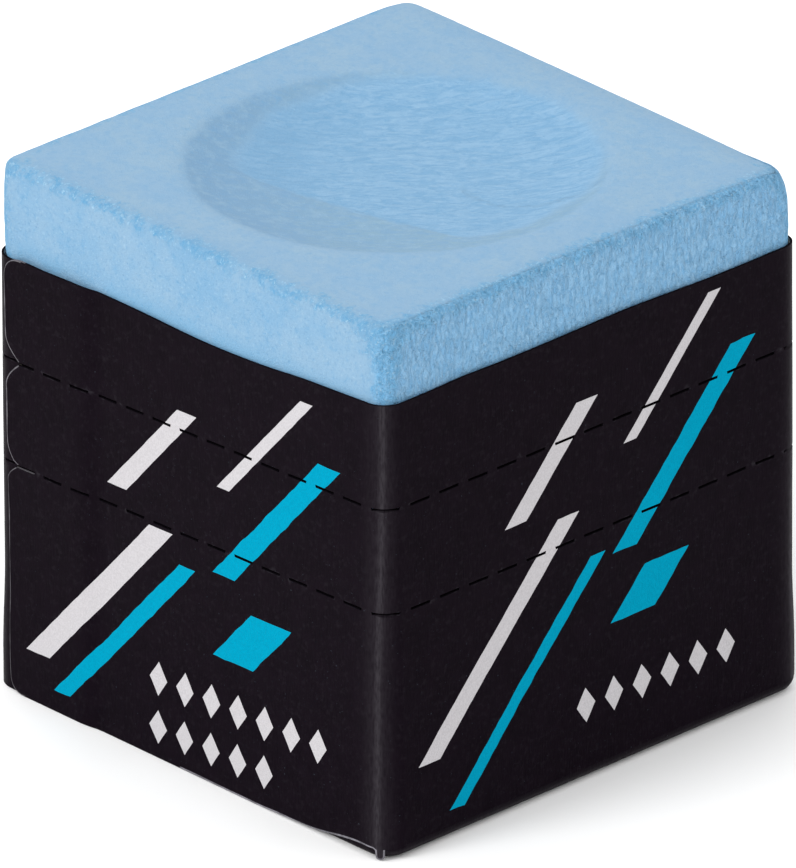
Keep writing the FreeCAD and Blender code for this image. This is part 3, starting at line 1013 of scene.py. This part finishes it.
def coat_piece(name, outline, low, high):
    """The adhesive coat behind a band, a hair clear of the paper and of the chalk."""
    flat, faces, _ = flat_mesh(coat_outline(outline, low, high), [], COAT_STEP)
    points, all_faces, _ = wrapped(flat, faces, -0.002, 0.002 - GLUE)
    piece = mesh_object(name, points, all_faces, [COAT])
    sharpen(piece, 40)
    vertex_values(piece, "lip", np.tile(by_slit(flat[:, 0], flat[:, 1], 0.12, 0.3), 2))
    return piece


# ---------------- base flap
def flap_level(margin_out, hinge_out, inset):
    """One level loop of the flap. It stands further out on the +X side, where it is hinged."""
    points, outs = loop(HALF, LABEL_EDGE, 0.0)
    share = smooth(FLAT - 1.0, HALF, points[:, 0])
    reach = margin_out + (hinge_out - margin_out) * share - inset
    points[:, :2] += outs * reach[:, None]
    return points, share


def flap_surface(inset):
    """Loops from the top of the turned-up margins, round the fold and in to the middle of the base."""
    margin_out = COAT_OUT + PAPER - inset
    hinge_out = COAT_OUT + PAPER + LAYER - inset
    top, share = flap_level(margin_out, hinge_out, 0.0)
    top[:, 2] = MARGIN_HEIGHT + (HINGE_RADIUS - MARGIN_HEIGHT) * smooth(0.5, 0.98, share)
    loops = [top]
    radius = MARGIN_RADIUS + (HINGE_RADIUS - MARGIN_RADIUS) * share
    for angle in np.linspace(0, math.pi / 2, 7):
        turned_in = (radius - inset) * (1 - math.cos(angle))
        level, share = flap_level(margin_out, hinge_out, turned_in)
        level[:, 2] = radius - (radius - inset) * math.sin(angle)
        loops.append(level)
    rim = loops[-1]
    for part in (0.985, 0.96, 0.9, 0.75, 0.5, 0.25, 0.1):
        inner = rim.copy()
        inner[:, :2] *= part
        loops.append(inner)
    return loops


def base_flap():
    outer, inner = flap_surface(0.0), flap_surface(PAPER)
    rows, per_skin = len(outer), len(outer) * RING_POINTS
    points = np.vstack(outer + inner + [[[0, 0, 0.0]], [[0, 0, PAPER]]])
    faces = ring_faces(rows, 0, 2 * per_skin, inside_out=True) + ring_faces(rows, per_skin, 2 * per_skin + 1)
    for column in range(RING_POINTS):
        after = (column + 1) % RING_POINTS
        faces.append((column, after, per_skin + after, per_skin + column))
    indices = [BLACK_I] * per_skin + [BACK_I] * per_skin + [PALE_I] * RING_POINTS
    flap = mesh_object("base_flap_label", points, faces, SHEET_MATERIALS, indices)
    sharpen(flap, 50)
    # Painted highlight: a faint lighter line along the hinge fold on the +X side
    on_hinge = smooth(FLAT, HALF, points[:, 0])
    vertex_values(flap, "rub_and_sheen", 0.45 * on_hinge * near(points[:, 2] - 0.3, 0.14))
    vertex_values(flap, "lip", np.zeros(len(points)))
    return flap


# ---------------- build and attach
PRINT = sheet_marks()

block = chalk_block()
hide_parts("chalk_block")
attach(block, "block")

for piece_name, coat_name, outline, slits, nodes, coat_node, body in (
    ("upper_ring_label", "upper_ring_coat", upper_outline(), (UPPER_LINE, None),
     ("upper_ring",), "upper_ring_adhesive", "upper_band"),
    ("middle_ring_label", "middle_ring_coat", middle_outline(), (LOWER_LINE, UPPER_LINE),
     ("middle_ring", "upper_perforation_ties"), "middle_ring_adhesive", "middle_band"),
    ("lower_wrap_label", "lower_wrap_coat", lower_outline(), (None, LOWER_LINE),
     ("lower_wrap", "lower_perforation_ties"), "lower_wrap_adhesive", "block"),
):
    paper = label_piece(piece_name, outline, PRINT)
    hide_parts(*nodes)
    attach(paper, body)
    coat = coat_piece(coat_name, outline, *slits)
    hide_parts(coat_node)
    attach(coat, body)

flap = base_flap()
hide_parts("base_flap")
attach(flap, "block")

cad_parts["base_flap_adhesive"].data.materials.clear()
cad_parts["base_flap_adhesive"].data.materials.append(COAT)


# ---------------- floor, light and camera
MIDDLE = (0, 0, 0.011)  # what the light and the camera are aimed at, in metres


def floor():
    far = 3.0 / MM
    corners = [(-far, -far, 0), (far, -far, 0), (far, far, 0), (-far, far, 0)]
    mesh_object("studio_floor", corners, [(0, 1, 2, 3)], [studio_floor()])


def around(azimuth, elevation, distance):
    """A place round the block. Azimuth 0 is out from the -Y side and 90 is out from the +X side."""
    a, e = math.radians(azimuth), math.radians(elevation)
    return Vector((math.sin(a) * math.cos(e), -math.cos(a) * math.cos(e), math.sin(e))) * distance


def light():
    """A white room, and one soft box to the left of the view."""
    world = bpy.data.worlds.new("studio")
    bpy.context.scene.world = world
    world.use_nodes = True
    background = world.node_tree.nodes["Background"].inputs
    background["Color"].default_value = (1, 1, 1, 1)
    background["Strength"].default_value = 0.98 / FLOOR_MARGIN
    data = bpy.data.lights.new("key_softbox", "AREA")
    data.shape = "DISK"
    data.size = 0.2
    data.energy = 1.05 / FLOOR_MARGIN
    lamp = put("key_softbox", data)
    lamp.location = around(-12, 38, 0.55)
    lamp.rotation_euler = (Vector(MIDDLE) - lamp.location).to_track_quat("-Z", "Y").to_euler()
    bpy.context.scene.view_settings.view_transform = "Standard"


def camera():
    """A long lens from 1 m, so that the block's upright edges stay nearly parallel."""
    data = bpy.data.cameras.new("camera")
    data.sensor_width = 36.0
    data.lens = 1054.7
    data.shift_x = 0.0005
    data.shift_y = -0.0015
    data.clip_start = 0.05
    data.clip_end = 20.0
    view = put("camera", data)
    back = around(46.786, 25.847, 1.0)
    level = (-back).to_track_quat("-Z", "Y").to_matrix().to_4x4()
    roll = Matrix.Rotation(math.radians(-0.29), 4, "Z")
    view.matrix_world = Matrix.Translation(Vector(MIDDLE) + back) @ level @ roll
    bpy.context.scene.camera = view


floor()
light()
camera()
